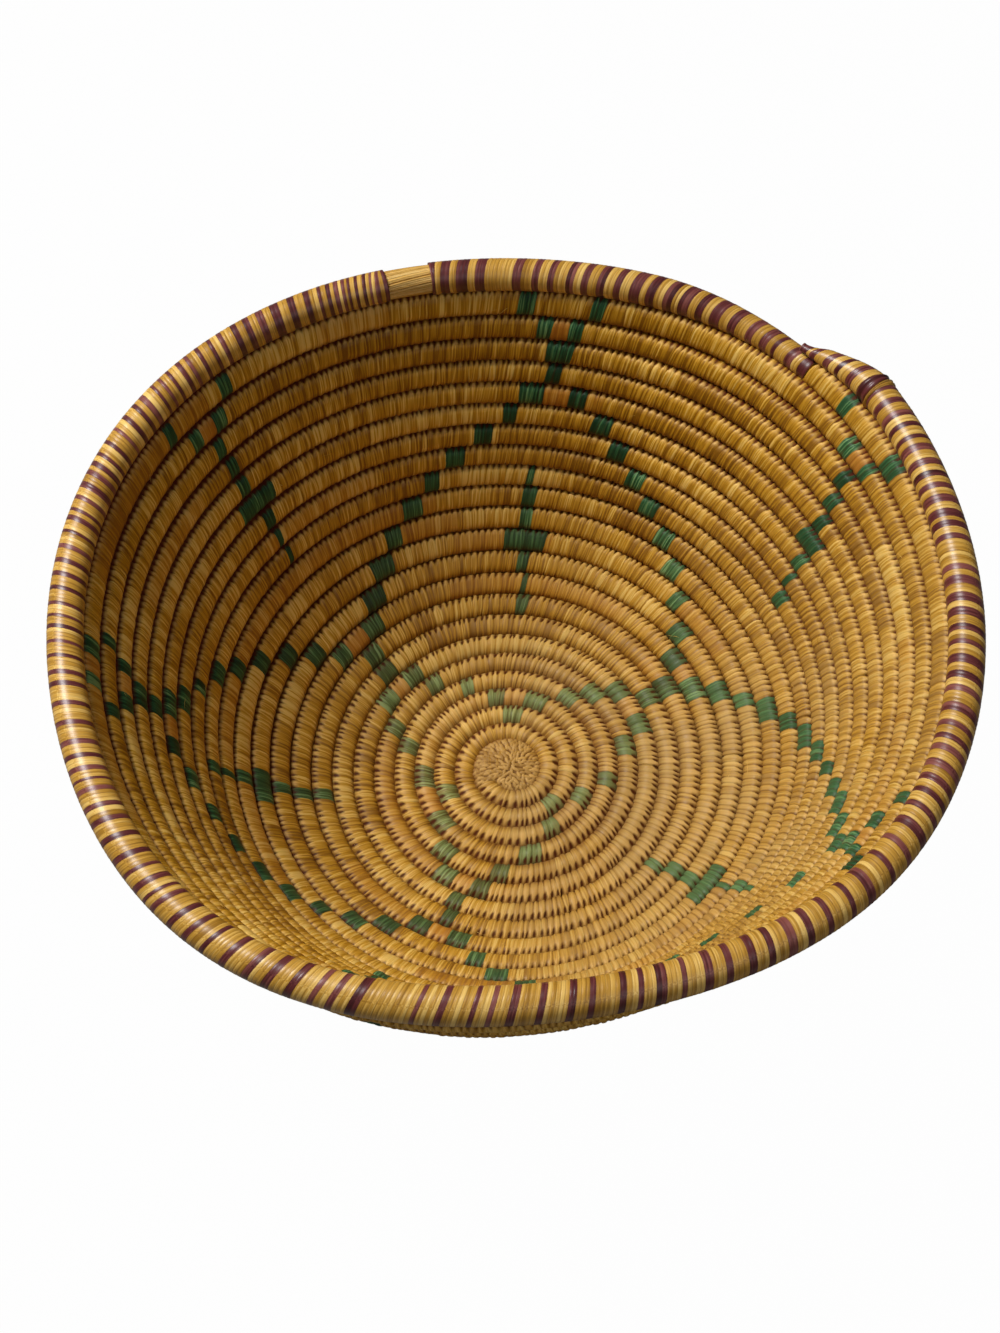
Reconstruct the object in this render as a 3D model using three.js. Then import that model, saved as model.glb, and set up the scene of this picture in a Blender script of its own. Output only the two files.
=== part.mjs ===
// A coiled basket bowl: a bundle of grass, bound with palm strands, wound in one
// flat spiral for the floor and then turn upon turn up a leaning wall. The last turn is
// the rim, a thicker bundle in its own smooth wrapping, with one bare window in it and
// a tail that thins out and lies beside the place where the rim began.
// Millimetres, +Z up. The origin is under the middle of the floor, on the table.
import * as THREE from 'three';

// Coil sizes
const FLOOR_COIL = 7.5; // room that one turn takes across the floor
const TOP_COIL = 9.4; // room that a turn takes high on the wall
const RIM_COIL = 11.3; // outside width of the wrapped rim
const COIL_GAP = 0.7; // gap between neighbouring turns
const END_GAP = 0.3; // gap between pieces that meet end to end
const START_TURN = -0.41; // turn at which the coil leaves the start disc
const STEADY_TURNS = 4.3; // turn at which the bundle starts to thicken
const THICK_TURNS = 12; // turn at which it has its full thickness
const FLOOR_TURNS = 5; // turn at which the flat floor ends
const BEND_TURNS = 9; // turn at which the bend up to the wall ends
const LOWER_TURNS = 13; // turn at which the lower wall ends
const MIDDLE_TURNS = 17; // turn at which the middle of the wall ends
const WALL_TURNS = 22.118; // turn at which the rim begins
const RIM_TURNS = 1.007; // the rim goes round once and laps its start a little

// The bowl's cross-section, along the middle of the coil
const START_RADIUS = 10.1; // inner edge of the spiral at turn 0
const FLOOR_RADIUS = 41.8; // flat part of the floor
const CORNER_RADIUS = 70.6; // bend from floor to wall
const WALL_ANGLE = THREE.MathUtils.degToRad(69.7); // straight wall, from level

// The hand-made wander of the round, measured at the rim
const OVAL = 1.35; // longer along X and shorter along Y
const THREE_CORNERS = 1.96; // three slight corners
const THREE_HEADING = THREE.MathUtils.degToRad(8.5);
const FOUR_CORNERS = 0.82; // and four more
const FOUR_HEADING = THREE.MathUtils.degToRad(65.1);
const RIM_SHIFT_X = -2.73; // the rim is not quite over the floor
const RIM_SHIFT_Y = -2.62;
const FLOOR_SHIFT_Y = -2.2; // and the floor lies a little to the front
const TUCK = 3.9; // near the rim, the front is pressed in
const TUCK_HEADING = THREE.MathUtils.degToRad(265);
const TUCK_RISE = 8; // a higher power keeps it nearer the rim
const TUCK_SPREAD = 6; // a higher power makes it shorter round the rim
const LAP_BULGE = 7.5; // where the rim's tail laps its start, the wall stands out
const LAP_HEADING = THREE.MathUtils.degToRad(48.8);
const LAP_RISE = 4;
const LAP_SPREAD = 8;
const SIDE_BULGE = 1.1; // and so, a little, does the right of the front
const SIDE_HEADING = THREE.MathUtils.degToRad(322);
const SIDE_RISE = 8;
const SIDE_SPREAD = 16;

// The start disc
const DISC_CROWN = 0.9; // rise at its middle
const DISC_EDGE = 1.2; // rounding of its edge
const DISC_POINTS = 36;

// The rim's wrapping
const WRAP_THICKNESS = 0.6;
const WRAP_CLEARANCE = 0.3;
const WINDOW_START = THREE.MathUtils.degToRad(101); // bare window in the wrapping
const WINDOW_LENGTH = 15.5;
const TAIL_LENGTH = 29; // the rim's end, which thins out
const TAIL_WIDTH = 5.2; // width at its tip
const TAIL_DROP = 0.1; // how far the thinning tail sinks, as a share of what it loses
const RIM_SWELL = 60; // length over which the wall's bundle swells to the rim's

// Facets
const COIL_STEPS = 24; // steps in a turn of the floor and wall
const COIL_SIDES = 6;
const RIM_STEPS = 48;
const RIM_SIDES = 8;
const STEP_SLACK = 1e-6; // a turn this near a whole step counts as on it

// Finishes
const START_STRAW = { color: 0x9a7444, roughness: 0.8 };
const FLOOR_STRAW = { color: 0xb0853f, roughness: 0.7 };
const WALL_STRAW = { color: 0xbc8a3b, roughness: 0.7 };
const BARE_GRASS = { color: 0xc9a25a, roughness: 0.75 };
const RIM_STRAND = { color: 0x6e3a2c, roughness: 0.4 };

// Distance up the profile, from turn 0, at which a given turn begins
function climb(turn) {
  const thickening = THREE.MathUtils.clamp(turn, STEADY_TURNS, THICK_TURNS) - STEADY_TURNS;
  const thickened = Math.max(turn - THICK_TURNS, 0);
  const growth = (TOP_COIL - FLOOR_COIL) / (THICK_TURNS - STEADY_TURNS);
  return FLOOR_COIL * turn + growth * (thickening ** 2 / 2 + thickened * (THICK_TURNS - STEADY_TURNS));
}

const FLAT_LENGTH = FLOOR_RADIUS - START_RADIUS;
const BEND_LENGTH = CORNER_RADIUS * WALL_ANGLE;

// Radius, height and slope of the profile at a distance along it
function profile(along) {
  const bend = THREE.MathUtils.clamp((along - FLAT_LENGTH) / CORNER_RADIUS, 0, WALL_ANGLE);
  const flat = Math.min(along, FLAT_LENGTH);
  const straight = Math.max(along - FLAT_LENGTH - BEND_LENGTH, 0);
  return {
    radius: START_RADIUS + flat + CORNER_RADIUS * Math.sin(bend) + straight * Math.cos(WALL_ANGLE),
    height: CORNER_RADIUS * (1 - Math.cos(bend)) + straight * Math.sin(WALL_ANGLE),
    slope: bend,
  };
}

const RIM_HEIGHT = profile(climb(WALL_TURNS)).height;
const FLOOR_WIDTH = FLOOR_COIL - COIL_GAP;
const FLOOR_HEIGHT = FLOOR_WIDTH * Math.cos(Math.PI / COIL_SIDES);

// A point on the middle of the coil, with the directions across it: up the wall, and
// into the bowl
function station(along, angle) {
  const { radius, height, slope } = profile(along);
  const share = height / RIM_HEIGHT;
  const oval = OVAL * Math.cos(2 * angle);
  const three = THREE_CORNERS * Math.cos(3 * (angle - THREE_HEADING));
  const four = FOUR_CORNERS * Math.cos(4 * (angle - FOUR_HEADING));
  const reach = radius + share * (oval + three + four);
  const front = Math.max(Math.cos(angle - TUCK_HEADING), 0);
  const tuck = TUCK * share ** TUCK_RISE * front ** TUCK_SPREAD;
  const lapSide = Math.max(Math.cos(angle - LAP_HEADING), 0);
  const lapBulge = LAP_BULGE * share ** LAP_RISE * lapSide ** LAP_SPREAD;
  const rightSide = Math.max(Math.cos(angle - SIDE_HEADING), 0);
  const sideBulge = SIDE_BULGE * share ** SIDE_RISE * rightSide ** SIDE_SPREAD;
  const outward = new THREE.Vector3(Math.cos(angle), Math.sin(angle), 0);
  const point = outward.clone().multiplyScalar(reach);
  point.x += share * RIM_SHIFT_X;
  point.y += share * RIM_SHIFT_Y + (1 - share) ** 2 * FLOOR_SHIFT_Y;
  point.z += height + FLOOR_HEIGHT / 2;
  const up = outward.clone().multiplyScalar(Math.cos(slope));
  up.z = Math.sin(slope);
  const inward = outward.clone().multiplyScalar(-Math.sin(slope));
  inward.z = Math.cos(slope);
  point.addScaledVector(inward, tuck - lapBulge - sideBulge);
  return { point, up, inward };
}

// A ring of points round the coil at one station. The underside is cut flat where the
// basket stands on the table.
function ring(along, angle, width, sides, firstPoint, inset = 0) {
  const { point, up, inward } = station(along, angle);
  point.addScaledVector(inward, inset);
  const points = [];
  for (let i = 0; i < sides; i += 1) {
    const round = firstPoint + (2 * Math.PI * i) / sides;
    const corner = point.clone();
    corner.addScaledVector(up, (width / 2) * Math.cos(round));
    corner.addScaledVector(inward, (width / 2) * Math.sin(round));
    corner.z = Math.max(corner.z, 0);
    points.push(corner);
  }
  return points;
}

// The turns at which a tube has its rings: its two ends and every whole step between
function ringTurns(from, to, steps) {
  const turns = [from];
  const last = to * steps - STEP_SLACK;
  for (let step = Math.ceil(from * steps + STEP_SLACK); step < last; step += 1) {
    turns.push(step / steps);
  }
  turns.push(to);
  return turns;
}

// A ring between two whole steps lies on the straight facets that join their rings
function ringOnFacets(turn, steps, ringAt) {
  const before = Math.floor(turn * steps + STEP_SLACK) / steps;
  const after = before + 1 / steps;
  const share = (turn - before) * steps;
  const first = ringAt(before);
  const second = ringAt(after);
  return first.map((corner, i) => corner.clone().lerp(second[i], share));
}

function ringsAlong(from, to, steps, ringAt) {
  return ringTurns(from, to, steps).map((turn) => ringOnFacets(turn, steps, ringAt));
}

function toGeometry(points, triangles) {
  const geometry = new THREE.BufferGeometry();
  geometry.setFromPoints(points);
  geometry.setIndex(triangles);
  geometry.computeVertexNormals();
  return geometry;
}

// Triangles of a skin over rings of equal count, facing away from the rings' middle
function skin(ringCount, sides, first) {
  const triangles = [];
  for (let k = 0; k < ringCount - 1; k += 1) {
    for (let i = 0; i < sides; i += 1) {
      const a = first + k * sides + i;
      const b = first + k * sides + ((i + 1) % sides);
      triangles.push(a, a + sides, b, b, a + sides, b + sides);
    }
  }
  return triangles;
}

// A solid tube with flat ends
function tube(rings) {
  const sides = rings[0].length;
  const last = (rings.length - 1) * sides;
  const triangles = skin(rings.length, sides, 0);
  for (let i = 1; i < sides - 1; i += 1) {
    triangles.push(0, i, i + 1);
    triangles.push(last, last + i + 1, last + i);
  }
  return toGeometry(rings.flat(), triangles);
}

// A sleeve, open at both ends
function sleeve(outer, inner) {
  const sides = outer[0].length;
  const innerFirst = outer.length * sides;
  const last = (outer.length - 1) * sides;
  const triangles = skin(outer.length, sides, 0);
  const lining = skin(inner.length, sides, innerFirst);
  for (let i = 0; i < lining.length; i += 3) {
    triangles.push(lining[i], lining[i + 2], lining[i + 1]);
  }
  for (let i = 0; i < sides; i += 1) {
    const next = (i + 1) % sides;
    triangles.push(i, next, innerFirst + i);
    triangles.push(next, innerFirst + next, innerFirst + i);
    triangles.push(last + i, innerFirst + last + i, last + next);
    triangles.push(last + next, innerFirst + last + i, innerFirst + last + next);
  }
  return toGeometry([...outer.flat(), ...inner.flat()], triangles);
}

// The share of a turn that a length takes on the coil at that turn
function turnShare(length, turn) {
  return length / (2 * Math.PI * profile(climb(turn)).radius);
}

// Floor and wall: each turn fills the room between two climbs
function coilRing(turn) {
  const from = climb(turn);
  const to = climb(turn + 1);
  return ring((from + to) / 2, 2 * Math.PI * turn, to - from - COIL_GAP, COIL_SIDES, 0);
}

// The least distance between a tube's points and those of its next turn
function leastGap(rings, steps) {
  let least = Infinity;
  rings.forEach((points, k) => {
    const nearby = rings.slice(k + steps - 1, k + steps + 2).flat();
    points.forEach((point) => {
      nearby.forEach((other) => {
        least = Math.min(least, point.distanceTo(other));
      });
    });
  });
  return least;
}

const basket = new THREE.Group();

function addPiece(name, geometry, finish) {
  const material = new THREE.MeshStandardMaterial({ ...finish, metalness: 0 });
  const mesh = new THREE.Mesh(geometry, material);
  mesh.name = name;
  basket.add(mesh);
}

function addCoil(name, fromTurn, toTurn, finish) {
  const from = fromTurn + turnShare(END_GAP, fromTurn);
  const rings = ringsAlong(from, toTurn, COIL_STEPS, coilRing);
  console.log(`${name}: least gap to itself ${leastGap(rings, COIL_STEPS).toFixed(2)} mm`);
  addPiece(name, tube(rings), finish);
}

// The start disc fills the first opening of the spiral, so its edge is a spiral too
function startDisc() {
  const levels = [
    { height: 0, inset: DISC_EDGE },
    { height: FLOOR_HEIGHT / 2, inset: 0 },
    { height: FLOOR_HEIGHT, inset: DISC_EDGE },
    { height: FLOOR_HEIGHT + DISC_CROWN / 2, inset: START_RADIUS / 2 },
  ];
  const sides = DISC_POINTS + 1;
  const points = [];
  levels.forEach(({ height, inset }) => {
    for (let i = 0; i < sides; i += 1) {
      const turn = START_TURN + i / DISC_POINTS;
      const reach = START_RADIUS + climb(turn) - COIL_GAP / 2 - inset;
      const angle = 2 * Math.PI * turn;
      const y = reach * Math.sin(angle) + FLOOR_SHIFT_Y;
      points.push(new THREE.Vector3(reach * Math.cos(angle), y, height));
    }
  });
  const under = points.length;
  const over = under + 1;
  points.push(new THREE.Vector3(0, FLOOR_SHIFT_Y, 0));
  points.push(new THREE.Vector3(0, FLOOR_SHIFT_Y, FLOOR_HEIGHT + DISC_CROWN));
  const triangles = [];
  const top = (levels.length - 1) * sides;
  for (let i = 0; i < sides; i += 1) {
    const next = (i + 1) % sides;
    triangles.push(under, next, i);
    triangles.push(over, top + i, top + next);
    for (let level = 0; level < top; level += sides) {
      const above = level + sides;
      triangles.push(level + i, level + next, above + i);
      triangles.push(level + next, above + next, above + i);
    }
  }
  return toGeometry(points, triangles);
}

addPiece('start_disc', startDisc(), START_STRAW);
addCoil('floor_coil', START_TURN, FLOOR_TURNS, FLOOR_STRAW);
addCoil('bend_coil', FLOOR_TURNS, BEND_TURNS, FLOOR_STRAW);
addCoil('wall_coil_lower', BEND_TURNS, LOWER_TURNS, WALL_STRAW);
addCoil('wall_coil_middle', LOWER_TURNS, MIDDLE_TURNS, WALL_STRAW);
addCoil('wall_coil_upper', MIDDLE_TURNS, WALL_TURNS, WALL_STRAW);

// The rim lies on the wall's last turn, swells from its width and thins to the tail's
const RIM_END = WALL_TURNS + RIM_TURNS;
const TAIL_START = RIM_END - turnShare(TAIL_LENGTH, RIM_END);
const SWELL_END = WALL_TURNS + turnShare(RIM_SWELL, WALL_TURNS);
const WINDOW_TURN = Math.floor(WALL_TURNS) + WINDOW_START / (2 * Math.PI);
const WINDOW_END = WINDOW_TURN + turnShare(WINDOW_LENGTH, WINDOW_TURN);

function rimWidth(turn) {
  const { lerp, smoothstep } = THREE.MathUtils;
  const swollen = lerp(TOP_COIL - COIL_GAP, RIM_COIL, smoothstep(turn, WALL_TURNS, SWELL_END));
  return lerp(swollen, TAIL_WIDTH, smoothstep(turn, TAIL_START, RIM_END));
}

// How far in the tail is set, which keeps its inner side flush with the rim's
function tailInset(turn) {
  return ((RIM_COIL - TAIL_WIDTH) / 2) * THREE.MathUtils.smoothstep(turn, TAIL_START, RIM_END);
}

// A ring of the rim, so far under the outside of its wrapping
function rimRing(turn, under) {
  const inset = tailInset(turn);
  const along = climb(turn) + (COIL_GAP + rimWidth(turn)) / 2 - TAIL_DROP * inset;
  const flatSides = Math.PI / RIM_SIDES;
  const width = (rimWidth(turn) - 2 * under) / Math.cos(flatSides);
  return ring(along, 2 * Math.PI * turn, width, RIM_SIDES, flatSides, inset);
}

function rimRings(from, to, under) {
  return ringsAlong(from, to, RIM_STEPS, (turn) => rimRing(turn, under));
}

const RIM_START = WALL_TURNS + turnShare(END_GAP, WALL_TURNS);
const CORE_DEPTH = WRAP_THICKNESS + WRAP_CLEARANCE;
addPiece('rim_core', tube(rimRings(RIM_START, RIM_END, CORE_DEPTH)), BARE_GRASS);

// The wrapping is in three lengths: up to the window, on to the tail, and over the tail
const wrapLengths = [
  ['rim_wrap_short', RIM_START, WINDOW_TURN],
  ['rim_wrap_long', WINDOW_END, TAIL_START],
  ['rim_wrap_tail', TAIL_START + turnShare(END_GAP, TAIL_START), RIM_END],
];
wrapLengths.forEach(([name, from, to]) => {
  addPiece(name, sleeve(rimRings(from, to, 0), rimRings(from, to, WRAP_THICKNESS)), RIM_STRAND);
});

export default basket;
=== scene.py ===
# %% [markdown]
# # A coiled basket bowl
# The bowl is one long bundle of grass, wound in a spiral and sewn turn to turn with
# strands of palm. Every stitch shows, so every stitch here is real geometry: a small
# rounded ridge over the bundle. The dyed pattern is a choice of strand for each stitch.

# %% The frame and its box
import math

import bpy
import numpy as np
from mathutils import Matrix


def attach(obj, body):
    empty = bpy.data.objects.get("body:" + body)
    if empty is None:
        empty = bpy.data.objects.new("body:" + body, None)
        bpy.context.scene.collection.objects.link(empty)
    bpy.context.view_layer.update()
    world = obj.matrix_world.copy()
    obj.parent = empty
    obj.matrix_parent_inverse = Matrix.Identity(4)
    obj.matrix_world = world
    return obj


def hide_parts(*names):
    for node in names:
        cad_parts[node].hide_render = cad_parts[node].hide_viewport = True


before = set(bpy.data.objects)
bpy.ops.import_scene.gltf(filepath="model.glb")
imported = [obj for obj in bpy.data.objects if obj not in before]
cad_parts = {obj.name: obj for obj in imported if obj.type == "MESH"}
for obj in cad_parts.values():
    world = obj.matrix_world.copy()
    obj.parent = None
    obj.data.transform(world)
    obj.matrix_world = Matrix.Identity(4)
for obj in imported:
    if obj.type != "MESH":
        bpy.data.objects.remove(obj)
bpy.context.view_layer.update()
print("CAD nodes:", sorted(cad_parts))

# %% [markdown]
# ## The spiral
# The stitches have to lie on the solids that they replace, so the spiral's own rule is
# written again: how far one turn climbs, the bowl's section (flat, bend, straight wall)
# and the slight oval of a thing made by hand. Sizes are in millimetres until a mesh is made.

# %% The spiral's sizes
MM = 0.001
TURN = 2 * math.pi
FLOOR_COIL = 7.5
TOP_COIL = 9.4
RIM_COIL = 11.3
COIL_GAP = 0.7
START_TURN = -0.41
STEADY_TURNS = 4.3
THICK_TURNS = 12
FLOOR_TURNS = 5
BEND_TURNS = 9
LOWER_TURNS = 13
MIDDLE_TURNS = 17
WALL_TURNS = 22.118
RIM_END = WALL_TURNS + 1.007
START_RADIUS = 10.1
FLOOR_RADIUS = 41.8
CORNER_RADIUS = 70.6
WALL_ANGLE = math.radians(69.7)
OVAL = 1.35
THREE_CORNERS = 1.96
THREE_HEADING = math.radians(8.5)
FOUR_CORNERS = 0.82
FOUR_HEADING = math.radians(65.1)
RIM_SHIFT_X = -2.73
RIM_SHIFT_Y = -2.62
FLOOR_SHIFT_Y = -2.2
TUCK = 3.9
TUCK_HEADING = math.radians(265)
TUCK_RISE = 8
TUCK_SPREAD = 6
LAP_BULGE = 7.5
LAP_HEADING = math.radians(48.8)
LAP_RISE = 4
LAP_SPREAD = 8
SIDE_BULGE = 1.1
SIDE_HEADING = math.radians(322)
SIDE_RISE = 8
SIDE_SPREAD = 16
FLOOR_HEIGHT = (FLOOR_COIL - COIL_GAP) * math.cos(math.pi / 6)
GROWTH = (TOP_COIL - FLOOR_COIL) / (THICK_TURNS - STEADY_TURNS)
FLAT_LENGTH = FLOOR_RADIUS - START_RADIUS


def climb(turn):
    """Distance up the bowl's section at which a turn begins."""
    thickening = np.clip(turn, STEADY_TURNS, THICK_TURNS) - STEADY_TURNS
    thickened = np.maximum(turn - THICK_TURNS, 0) * (THICK_TURNS - STEADY_TURNS)
    return FLOOR_COIL * turn + GROWTH * (thickening**2 / 2 + thickened)


def section(along):
    """Radius, height and slope of the bowl's section."""
    bend = np.clip((along - FLAT_LENGTH) / CORNER_RADIUS, 0, WALL_ANGLE)
    straight = np.maximum(along - FLAT_LENGTH - CORNER_RADIUS * WALL_ANGLE, 0)
    radius = START_RADIUS + np.minimum(along, FLAT_LENGTH) + CORNER_RADIUS * np.sin(bend)
    radius = radius + straight * math.cos(WALL_ANGLE)
    height = CORNER_RADIUS * (1 - np.cos(bend)) + straight * math.sin(WALL_ANGLE)
    return radius, height, bend


RIM_HEIGHT = section(climb(WALL_TURNS))[1]
print("Rim height:", round(float(RIM_HEIGHT), 1), "mm")


# %% A point round the coil
def bulge(angle, share, size, heading, rise, spread):
    """How far the wall stands off at one heading, fading downwards and sideways."""
    return size * share**rise * np.maximum(np.cos(angle - heading), 0) ** spread


def on_coil(along, turn, up, inward):
    """Points so far up the wall and into the bowl from the coil's middle."""
    radius, height, slope = section(along)
    angle = TURN * turn
    share = height / RIM_HEIGHT
    three = THREE_CORNERS * np.cos(3 * (angle - THREE_HEADING))
    four = FOUR_CORNERS * np.cos(4 * (angle - FOUR_HEADING))
    inward = inward + bulge(angle, share, TUCK, TUCK_HEADING, TUCK_RISE, TUCK_SPREAD)
    inward = inward - bulge(angle, share, LAP_BULGE, LAP_HEADING, LAP_RISE, LAP_SPREAD)
    inward = inward - bulge(angle, share, SIDE_BULGE, SIDE_HEADING, SIDE_RISE, SIDE_SPREAD)
    reach = radius + share * (OVAL * np.cos(2 * angle) + three + four)
    reach = reach + up * np.cos(slope) - inward * np.sin(slope)
    x = reach * np.cos(angle) + share * RIM_SHIFT_X
    y = reach * np.sin(angle) + share * RIM_SHIFT_Y + (1 - share) ** 2 * FLOOR_SHIFT_Y
    z = height + FLOOR_HEIGHT / 2 + up * np.sin(slope) + inward * np.cos(slope)
    return np.stack([x, y, np.maximum(z, 0)], axis=-1)


def coil_middle(turn):
    return (climb(turn) + climb(turn + 1)) / 2


def round_length(turn):
    """Length of one turn at that place."""
    return TURN * section(coil_middle(turn))[0]


print("Turn lengths:", np.round(round_length(np.array([0.0, 10.0, 20.0]))), "mm")

# %% [markdown]
# ## The stitches
# A stitch is about 2.2 mm wide on the floor and 2.4 mm on the wall, and no two are alike.
# Copies of one stitch would look printed, so each has its own numbers. Walking along the
# spiral and adding one uneven width after another gives their edges. The maker works with
# one strand for some twenty stitches and then joins on another, so tone, thickness and
# tightness change in runs. Strands on the upper right of the wall are painted darker, as
# the shade that lies there. Each edge sways a little, and the gap that it leaves between
# two teeth is deep or shallow, as the awl went in.

# %% Stitch edges
SEED = 41
PITCH_TURNS = [0, 5, 13, 17]
PITCHES = [2.2, 2.3, 2.45, 2.3]
UNEVEN_TURNS = [4, 9]
UNEVEN = [0.25, 0.15]
WIDTH_LIMITS = (0.6, 1.45)
draw = np.random.default_rng(SEED)
edges = [START_TURN]
while edges[-1] < WALL_TURNS:
    pitch = np.interp(edges[-1], PITCH_TURNS, PITCHES)
    uneven = np.interp(edges[-1], UNEVEN_TURNS, UNEVEN)
    width = pitch * np.clip(draw.normal(1, uneven), *WIDTH_LIMITS)
    edges.append(edges[-1] + width / round_length(edges[-1]))
edges[-1] = WALL_TURNS
edges = np.array(edges)
stitch_turn = (edges[1:] + edges[:-1]) / 2
STITCHES = len(stitch_turn)
print("Stitches:", STITCHES)

# %% Runs of one strand
RUN_LENGTHS = (9, 30)
MIDDLE_TONE = 0.5
RUN_TONE = 0.14
RUN_LIFT = 0.07
RUN_LOOSE = (0, 0.7)
HALF_RUSTY = 0.45
HALF_RUSTY_SHARE = 0.13
tone = np.zeros(STITCHES)
lift = np.zeros(STITCHES)
rust = np.zeros(STITCHES)
loose = np.zeros(STITCHES)
first = 0
while first < STITCHES:
    last = first + draw.integers(*RUN_LENGTHS)
    tone[first:last] = draw.normal(MIDDLE_TONE, RUN_TONE)
    lift[first:last] = draw.normal(0, RUN_LIFT)
    loose[first:last] = draw.uniform(*RUN_LOOSE)
    rust[first:last] = HALF_RUSTY if draw.random() < HALF_RUSTY_SHARE else 0.0
    first = last
print("Loosest run:", round(loose.max(), 2))

# %% Single stitches
STITCH_TONE = 0.13
STITCH_LIFT = 0.07
LIFT_UNEVEN = [2, 1]
SIDE_SHADE = 0.2
DARK_HEADING = math.radians(40)
DARK_POWER = 4
DARK_TURNS = [8, 14]
PALE_TIPS = (0.35, 1)
EDGE_SWAY = 0.22
BITES = (0.6, 1.25)
tone += draw.normal(0, STITCH_TONE, STITCHES)
# Painted shade: the tone of the upper right of the wall is lowered where shade lies on it.
side_shade = np.maximum(np.cos(TURN * stitch_turn - DARK_HEADING), 0) ** DARK_POWER
tone -= SIDE_SHADE * side_shade * np.interp(stitch_turn, DARK_TURNS, [0, 1])
lift += draw.normal(0, STITCH_LIFT, STITCHES) * np.interp(stitch_turn, UNEVEN_TURNS, LIFT_UNEVEN)
pale_tip = draw.uniform(*PALE_TIPS, STITCHES)
sway = draw.normal(0, EDGE_SWAY, STITCHES + 1)
bite = draw.uniform(*BITES, STITCHES + 1)
print("Tones from", round(tone.min(), 2), "to", round(tone.max(), 2))

# %% [markdown]
# ## The dyed pattern
# Green strands draw a flower of three crossing bands, with a small cross in each petal.
# Each band steps one block per turn, so it is kept as a few corners (turn, angle in
# degrees) with straight steps between. A cross is a stem of narrow blocks and one wide one.
# A painted image could carry it, but the edges of the blocks have to fall between stitches,
# so the pattern chooses whole stitches instead. Blocks have a width in millimetres.

# %% Bands of the flower
OUTER_BANDS = [
    [(7, 28.5), (12, 1.5), (19, -34)],
    [(7, 28.5), (12, 54.25), (18, 81.5)],
    [(7, 140), (16, 89.5), (18, 81.5)],
    [(7, 141), (15, 182), (17, 187.5)],
    [(6, 249.5), (10, 224), (17, 187.5)],
    [(6, 249.5), (10, 272.5), (18, 326)],
]
INNER_BANDS = [
    [(1, -43.5), (4, 12), (6, 29)],
    [(1, 88.5), (3, 55), (6, 29)],
    [(1, 88.5), (4, 129), (6, 141)],
    [(1, 203), (3, 167.5), (6, 141)],
    [(1, 203), (3, 233), (5, 249.5)],
    [(0, 316.5), (3, 264), (5, 249.5)],
]
BAND_BLOCK = 7.2
blocks = []
for corners in OUTER_BANDS + INNER_BANDS:
    turns, angles = zip(*corners)
    for turn in range(turns[0], turns[-1] + 1):
        blocks.append((turn, np.interp(turn, turns, angles), BAND_BLOCK))
print("Blocks in the bands:", len(blocks))

# %% Crosses and forks
STEM_BLOCK = 4.2
WIDE_BLOCK = 14
FORK_BLOCK = 5
PETAL_CROSSES = [(10, 86), (10, 191), (9, 322.5)]
SIDE_CROSSES = [(17, 26.2, 0.55), (16, 141.3, 0.2), (15, 246.5, 0.3)]
BAND_NECKS = [(18, 81), (17, 187.5), (18, 326)]
CROSS_FORKS = [(4, 2.7), (5, 5.8)]
NECK_FORKS = [(2, 2.8), (3, 5.5)]
LAST_FORK = (21, 187.5, 2.7)


def add_cross(wide, angle, drift):
    """A stem of three blocks, the wide block, and three more."""
    for step in range(-3, 4):
        size = STEM_BLOCK if step else WIDE_BLOCK
        blocks.append((wide + step, angle + step * drift, size))


def add_fork(turn, angle, spread):
    """Two blocks, one on each side."""
    blocks.append((turn, angle - spread, FORK_BLOCK))
    blocks.append((turn, angle + spread, FORK_BLOCK))


for wide, angle in PETAL_CROSSES:
    add_cross(wide, angle, 0)
for wide, angle, drift in SIDE_CROSSES:
    add_cross(wide, angle, drift)
    for step, spread in CROSS_FORKS:
        add_fork(wide + step, angle + step * drift, spread)
for turn, angle in BAND_NECKS:
    blocks.append((turn + 1, angle, BAND_BLOCK))
    for step, spread in NECK_FORKS:
        add_fork(turn + step, angle, spread)
add_fork(*LAST_FORK)
print("Blocks in all:", len(blocks))

# %% Dye on the stitches
BLOCK_UNEVEN = 0.08
GREEN_TURNS = [2, 7]
GREEN_TONES = [0.62, 0.42]
BLOCK_TONE = 0.12
GREEN_STITCH_TONE = 0.1
FADED_TURNS = [0, 4, 9, 14]
FADED_DYE = [0.72, 0.82, 0.95, 1]
dye = np.zeros(STITCHES)
for turn, angle, size in blocks:
    centre = turn + angle / 360
    half = (size * draw.normal(1, BLOCK_UNEVEN) / 2) / round_length(centre)
    near = np.abs(stitch_turn - centre) < half
    dye[near] = 1
    block_tone = np.interp(turn, GREEN_TURNS, GREEN_TONES) + draw.normal(0, BLOCK_TONE)
    tone[near] = block_tone + draw.normal(0, GREEN_STITCH_TONE, near.sum())
dye *= np.interp(stitch_turn, FADED_TURNS, FADED_DYE)
print("Dyed stitches:", int((dye > 0).sum()))

# %% [markdown]
# Where the maker carries the green strand along between two near blocks, the gold
# stitches over it look rusty. Those are short runs of gold between two runs of green.

# %% Rusty stitches
RUSTY_RUN = 7
changes = np.flatnonzero(np.diff((dye > 0).astype(int))) + 1
for start, stop in zip(changes[:-1], changes[1:]):
    if dye[start] == 0 and stop - start < RUSTY_RUN:
        rust[start:stop] = 1
print("Rusty stitches:", int((rust == 1).sum()))

# %% [markdown]
# ## Winding a skin
# Coil, rim and start are all rows of rings of points. One function joins the rings into a
# mesh, keeps three sets of numbers on it for the materials, and lays out its own map for
# baking: the long skin is cut into rows that fill a square, so that no part is squeezed.
# A closed skin joins its last ring to its first, as a sleeve with a lining does.

# %% Skin over rings
def add_object(name, data):
    thing = bpy.data.objects.new(name, data)
    bpy.context.scene.collection.objects.link(thing)
    return thing


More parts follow.
